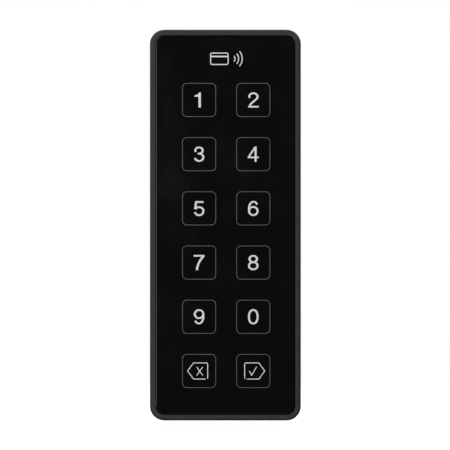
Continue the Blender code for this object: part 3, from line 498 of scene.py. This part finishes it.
def digit_zero():
    """An ellipse with slightly straightened sides."""
    half_x, half_z = 1.44, 2.24
    power = 0.9
    steps = 44
    points = []
    for i in range(steps):
        angle = 2 * math.pi * i / steps
        x, z = math.cos(angle), math.sin(angle)
        x, z = math.copysign(abs(x) ** power, x), math.copysign(abs(z) ** power, z)
        points.append(Vector((half_x * x, half_z * z)))
    return [ring(points)]


def tag_outline(side):
    """A five-sided tag that points to one side, with a small break at its lower rear corner."""
    back, shoulder, tip = -2.85, 1.86, 3.82
    corner = 0.5
    start = back + 0.7
    path = joined(
        [(start, -TAG_HALF), (shoulder, -TAG_HALF), (tip, 0.0), (shoulder, TAG_HALF)],
        ellipse(back + corner, TAG_HALF - corner, corner, corner, 90, 180, 6),
        ellipse(back + corner, corner - TAG_HALF, corner, corner, 180, 222, 4),
    )
    return [ribbon([Vector((side * p.x, p.y)) for p in path], (TAG_LINE, TAG_LINE))]


def clear_icon():
    line = (CROSS_LINE, CROSS_LINE)
    cross = [
        ribbon([Vector((-0.80, 1.36)), Vector((1.20, -1.50))], line),
        ribbon([Vector((1.20, 1.36)), Vector((-0.80, -1.50))], line),
    ]
    return tag_outline(-1) + cross


def enter_icon():
    tick = [Vector((-1.32, 0.0)), Vector((-0.54, -1.40)), Vector((1.14, 1.44))]
    return tag_outline(1) + [ribbon(tick, (TICK_LINE, TICK_LINE))]


def reader_symbol():
    """A plain card beside three radio arcs."""
    line = (SYMBOL_LINE, SYMBOL_LINE)
    half_x, half_z, corner = 2.9, 1.9, 0.5
    card = ring([p - Vector((half_x, 0.0)) for p in rounded_square(half_x, half_z, corner)], line)
    stripe = plate([(-5.7, 0.5), (-0.1, 0.5), (-0.1, 1.0), (-5.7, 1.0)])
    arcs = [ribbon(ellipse(0.9, 0.0, r, r, -40, 40, 14), line) for r in (1.4, 2.6, 3.8)]
    return [card, stripe] + arcs


def print_on_face(name, pieces, x, z, material):
    """Turns flat solids drawn in millimetres into a thin print on the glossy face."""
    obj = combined(name, "UNION", pieces[0], pieces[1:])
    upright = Matrix.Rotation(math.radians(90), 4, "X")
    scale = Matrix.Diagonal((MM, MM, PRINT_THICKNESS, 1.0))
    place = Matrix.Translation((x, FACE_Y - PRINT_RISE + PRINT_THICKNESS, z))
    obj.data.transform(place @ upright @ scale)
    wear(obj, material)
    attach(obj, "reader_unit")


def print_legends(finishes):
    shapes = (
        ("digit_1", digit_one),
        ("digit_2", digit_two),
        ("digit_3", digit_three),
        ("digit_4", digit_four),
        ("digit_5", digit_five),
        ("digit_6", digit_six),
        ("digit_7", digit_seven),
        ("digit_8", digit_eight),
        ("digit_9", digit_nine),
        ("digit_0", digit_zero),
        ("clear_icon", clear_icon),
        ("enter_icon", enter_icon),
    )
    outline_ink = printed_ink("outline_print", OUTLINE_INK)
    for i, (key, (name, draw)) in enumerate(zip(KEYS, shapes)):
        x = key.x + PRINT_SHIFT
        print_on_face(name, draw(), x, key.z, finishes["legend_print"])
        outline = ring(rounded_square(KEY_HALF, KEY_HALF, KEY_CORNER), (KEY_LINE, KEY_LINE))
        print_on_face(f"key_outline_{i + 1}", [outline], x, key.z, outline_ink)
    symbol_z = LENS_HIGH.z - SYMBOL_DROP
    print_on_face("reader_symbol", reader_symbol(), SYMBOL_SHIFT, symbol_z, finishes["legend_print"])


# ---------------------------------------------------------------- detailed fixings

HEAD_HEIGHT = 1.8 * MM
DOME_HEIGHT = 1.1 * MM
CROWN_INSET = 0.9 * MM  # from the head's edge to the flat of its dome
SCREW_EDGE = 0.15 * MM
SHANK_RADIUS = 1.45 * MM
TIP_TAPER = 0.3 * MM
THREAD_PITCH = 0.5 * MM
THREAD_DEPTH = 0.27 * MM
THREAD_LENGTH = 4.4 * MM
THREAD_FLAT = 0.12  # the share of a pitch that is level at the crest, and again in the groove
SOCKET_SIZE = 1.3 * MM  # from the middle to a corner of the hexagon
SOCKET_DEPTH = 1.2 * MM
SOCKET_PIN = 0.4 * MM
WIRE_RADIUS = 0.15 * MM
SPRING_TURNS = 4
END_CLOSING = 0.75  # how far the coils close up towards the spring's ends, 1 at most


def mesh_from_rings(name, rings):
    """A closed mesh through rings of points, with a flat cap at each end."""
    bm = bmesh.new()
    loops = [[bm.verts.new(point) for point in ring_points] for ring_points in rings]
    count = len(loops[0])
    for low, high in zip(loops, loops[1:]):
        for i in range(count):
            j = (i + 1) % count
            bm.faces.new((low[i], low[j], high[j], high[i]))
    bm.faces.new(loops[0])
    bm.faces.new(loops[-1])
    obj = make_object(name, bm)
    obj.data.shade_smooth()
    obj.data.set_sharp_from_angle(angle=math.radians(40))
    return obj


def thread_rows(low, high):
    """Heights, radii and thread strengths from the screw's head to its tip."""
    head_radius = (high.x - low.x) / 2
    head_top = low.z + HEAD_HEIGHT
    dome_steps = 8
    rows_per_turn = 8
    rows = []
    for i in range(dome_steps + 1):
        turn = math.radians(90 * i / dome_steps)
        height = low.z + DOME_HEIGHT * (1 - math.cos(turn))
        rows.append((height, head_radius - CROWN_INSET * (1 - math.sin(turn)), 0.0))
    rows += [
        (head_top - SCREW_EDGE, head_radius, 0.0),
        (head_top, head_radius - SCREW_EDGE, 0.0),
        (head_top, SHANK_RADIUS + SCREW_EDGE, 0.0),
        (head_top + SCREW_EDGE, SHANK_RADIUS, 0.0),
    ]
    thread_start = high.z - THREAD_LENGTH
    steps = rows_per_turn * round(THREAD_LENGTH / THREAD_PITCH)
    for i in range(steps + 1):
        z = thread_start + THREAD_LENGTH * i / steps
        strength = min(1.0, (z - thread_start) / THREAD_PITCH)
        taper = max(0.0, 1 - (high.z - z) / THREAD_PITCH)
        rows.append((z, SHANK_RADIUS - TIP_TAPER * taper, strength))
    return rows


def thread_wave(turns):
    """0 in a thread's groove and 1 on its crest."""
    wave = 1 - abs(2 * (turns % 1.0) - 1)
    return min(1.0, max(0.0, (wave - THREAD_FLAT) / (1 - 2 * THREAD_FLAT)))


def socket_cutter(bottom):
    """The screw's hexagon socket, which opens at this point and leaves a pin in its middle."""
    corners = [math.radians(60 * corner) for corner in range(7)]
    edge_steps = 4
    hexagon = []
    for start, end in zip(corners, corners[1:]):
        near = Vector((math.cos(start), math.sin(start))) * SOCKET_SIZE
        far = Vector((math.cos(end), math.sin(end))) * SOCKET_SIZE
        hexagon += [near.lerp(far, k / edge_steps) for k in range(edge_steps)]
    pin = [point.normalized() * SOCKET_PIN for point in hexagon]
    socket = flat_solid([hexagon, pin], -MM, SOCKET_DEPTH)
    socket.data.transform(Matrix.Translation(bottom))
    return socket


def make_locking_screw(steel):
    """The button-head security screw, with its rolled thread and the pin in its socket."""
    low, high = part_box("locking_screw")
    middle = (low + high) / 2
    sides = 40
    rings = []
    for z, radius, strength in thread_rows(low, high):
        points = []
        for i in range(sides):
            angle = 2 * math.pi * i / sides
            groove = 1 - thread_wave(z / THREAD_PITCH - i / sides)
            r = radius - strength * THREAD_DEPTH * groove
            points.append((middle.x + r * math.cos(angle), middle.y + r * math.sin(angle), z))
        rings.append(points)
    blank = mesh_from_rings("screw_blank", rings)
    socket = socket_cutter((middle.x, middle.y, low.z))
    screw = combined("threaded_locking_screw", "DIFFERENCE", blank, [socket])
    wear(screw, steel)
    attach(screw, "locking_screw")
    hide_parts("locking_screw")


def make_tamper_spring(steel):
    """The plunger's spring with closed end coils."""
    low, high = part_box("tamper_spring")
    middle = (low + high) / 2
    coil = (high.x - low.x) / 2 - WIRE_RADIUS
    near, far = high.y - WIRE_RADIUS, low.y + WIRE_RADIUS
    steps_per_turn = 32
    steps = SPRING_TURNS * steps_per_turn
    sides = 10
    rings = []
    for i in range(steps + 1):
        t = i / steps
        angle = 2 * math.pi * SPRING_TURNS * t
        along = t - END_CLOSING * math.sin(2 * math.pi * t) / (2 * math.pi)
        outward = Vector((math.cos(angle), 0.0, math.sin(angle)))
        centre = Vector((middle.x, near + (far - near) * along, middle.z)) + outward * coil
        wire = []
        for k in range(sides):
            around = 2 * math.pi * k / sides
            lengthwise = Vector((0.0, WIRE_RADIUS * math.sin(around), 0.0))
            wire.append(centre + outward * (WIRE_RADIUS * math.cos(around)) + lengthwise)
        rings.append(wire)
    spring = mesh_from_rings("plunger_spring", rings)
    wear(spring, steel)
    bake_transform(spring)
    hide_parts("tamper_spring")


# ---------------------------------------------------------------- floor, light and camera

FRAME_WIDTH = 149.6 * MM  # what the camera sees across at the face
CAMERA_DISTANCE = 3.0
CAMERA_AIM = Vector((-0.13 * MM, FACE_Y, 0.03 * MM))
SENSOR = 36.0
FLOOR_RADIUS = 0.7
FLOOR_GAP = 1.5 * MM  # room under the reader for the lock screw's travel
AMBIENT = 0.16  # the room's light on the reader
REFLECTED_ROOM = 0.01  # how bright the room looks in the glossy face
REFLECTED_TABLE = 0.2
TABLE_EDGE = (-0.2, -0.6)  # Z of a reflection's direction where the table begins, and where it is full
TABLE_GLOW = 0.92
LIGHT_DISTANCE = 1.8
# name: azimuth, elevation, size, power
LIGHTS = {
    "front_light": (-22, 18, 1.2, 20.0),
    "left_light": (-68, 38, 1.3, 10.0),
    "edge_light": (-50, 3, 0.5, 1.5),
    "right_light": (18, 14, 0.9, 1.5),
    "rear_left_light": (-156, 45, 0.9, 24.0),
    "rear_right_light": (165, 45, 0.9, 12.0),
    "side_light": (125, 20, 0.9, 18.0),
}


def make_camera():
    camera = bpy.data.cameras.new("camera")
    obj = bpy.data.objects.new("camera", camera)
    bpy.context.scene.collection.objects.link(obj)
    obj.location = CAMERA_AIM + Vector((0.0, -CAMERA_DISTANCE, 0.0))
    obj.rotation_euler = (math.radians(90), 0, 0)
    camera.sensor_width = SENSOR
    camera.lens = SENSOR * CAMERA_DISTANCE / FRAME_WIDTH
    camera.clip_end = 50
    bpy.context.scene.camera = obj


def make_softbox(name, azimuth, elevation, size, power):
    """A square lamp that faces the reader. Azimuth 0 is in front, and positive is to the right."""
    turn, rise = math.radians(azimuth), math.radians(elevation)
    away = Vector((math.sin(turn) * math.cos(rise), -math.cos(turn) * math.cos(rise), math.sin(rise)))
    light = bpy.data.lights.new(name, "AREA")
    light.shape = "SQUARE"
    light.size = size
    light.energy = power
    obj = bpy.data.objects.new(name, light)
    bpy.context.scene.collection.objects.link(obj)
    obj.location = away * LIGHT_DISTANCE
    obj.rotation_euler = (-away).to_track_quat("-Z", "Y").to_euler()


def make_world():
    """White to the camera, dim as a light, and in reflections brighter below, where the light table is."""
    world = bpy.data.worlds.new("studio")
    world.use_nodes = True
    nodes, links = world.node_tree.nodes, world.node_tree.links
    background = nodes["Background"]
    background.inputs["Color"].default_value = (1, 1, 1, 1)
    direction = nodes.new("ShaderNodeTexCoord")
    split = nodes.new("ShaderNodeSeparateXYZ")
    links.new(direction.outputs["Generated"], split.inputs["Vector"])
    table = nodes.new("ShaderNodeMapRange")
    table.interpolation_type = "SMOOTHSTEP"
    ends = ("From Min", "From Max", "To Min", "To Max")
    for end, value in zip(ends, (*TABLE_EDGE, REFLECTED_ROOM, REFLECTED_TABLE)):
        table.inputs[end].default_value = value
    links.new(split.outputs["Z"], table.inputs["Value"])
    ray = nodes.new("ShaderNodeLightPath")
    mirrored = nodes.new("ShaderNodeMix")
    mirrored.inputs["A"].default_value = AMBIENT
    links.new(table.outputs["Result"], mirrored.inputs["B"])
    links.new(ray.outputs["Is Glossy Ray"], mirrored.inputs["Factor"])
    seen = nodes.new("ShaderNodeMix")
    seen.inputs["B"].default_value = 1.0
    links.new(mirrored.outputs["Result"], seen.inputs["A"])
    links.new(ray.outputs["Is Camera Ray"], seen.inputs["Factor"])
    links.new(seen.outputs["Result"], background.inputs["Strength"])
    bpy.context.scene.world = world


def make_floor():
    """A pale light table, which glows enough to stay white around the reader."""
    bm = bmesh.new()
    bmesh.ops.create_circle(bm, cap_ends=True, radius=FLOOR_RADIUS, segments=96)
    floor = make_object("floor", bm)
    floor.location.z = cad_box[0][2] - FLOOR_GAP
    surface = Surface("opal_glass", (0.15, 0.15, 0.15), 0.9)
    surface.colour(surface.noise(80 * MM, detail=3.0), (0.145,) * 3, (0.155,) * 3)
    surface.shader.inputs["Emission Color"].default_value = (1, 1, 1, 1)
    surface.shader.inputs["Emission Strength"].default_value = TABLE_GLOW
    wear(floor, surface.material)
    floor.visible_glossy = False
    floor.visible_diffuse = False


def make_studio():
    make_world()
    make_floor()
    for name, values in LIGHTS.items():
        make_softbox(name, *values)
    bpy.context.scene.view_settings.view_transform = "Standard"
    bpy.context.scene.view_settings.look = "None"


make_camera()
make_studio()
finishes = make_finishes()
dress_cad_nodes(finishes)
print_legends(finishes)
make_locking_screw(finishes["steel"])
make_tamper_spring(finishes["steel"])
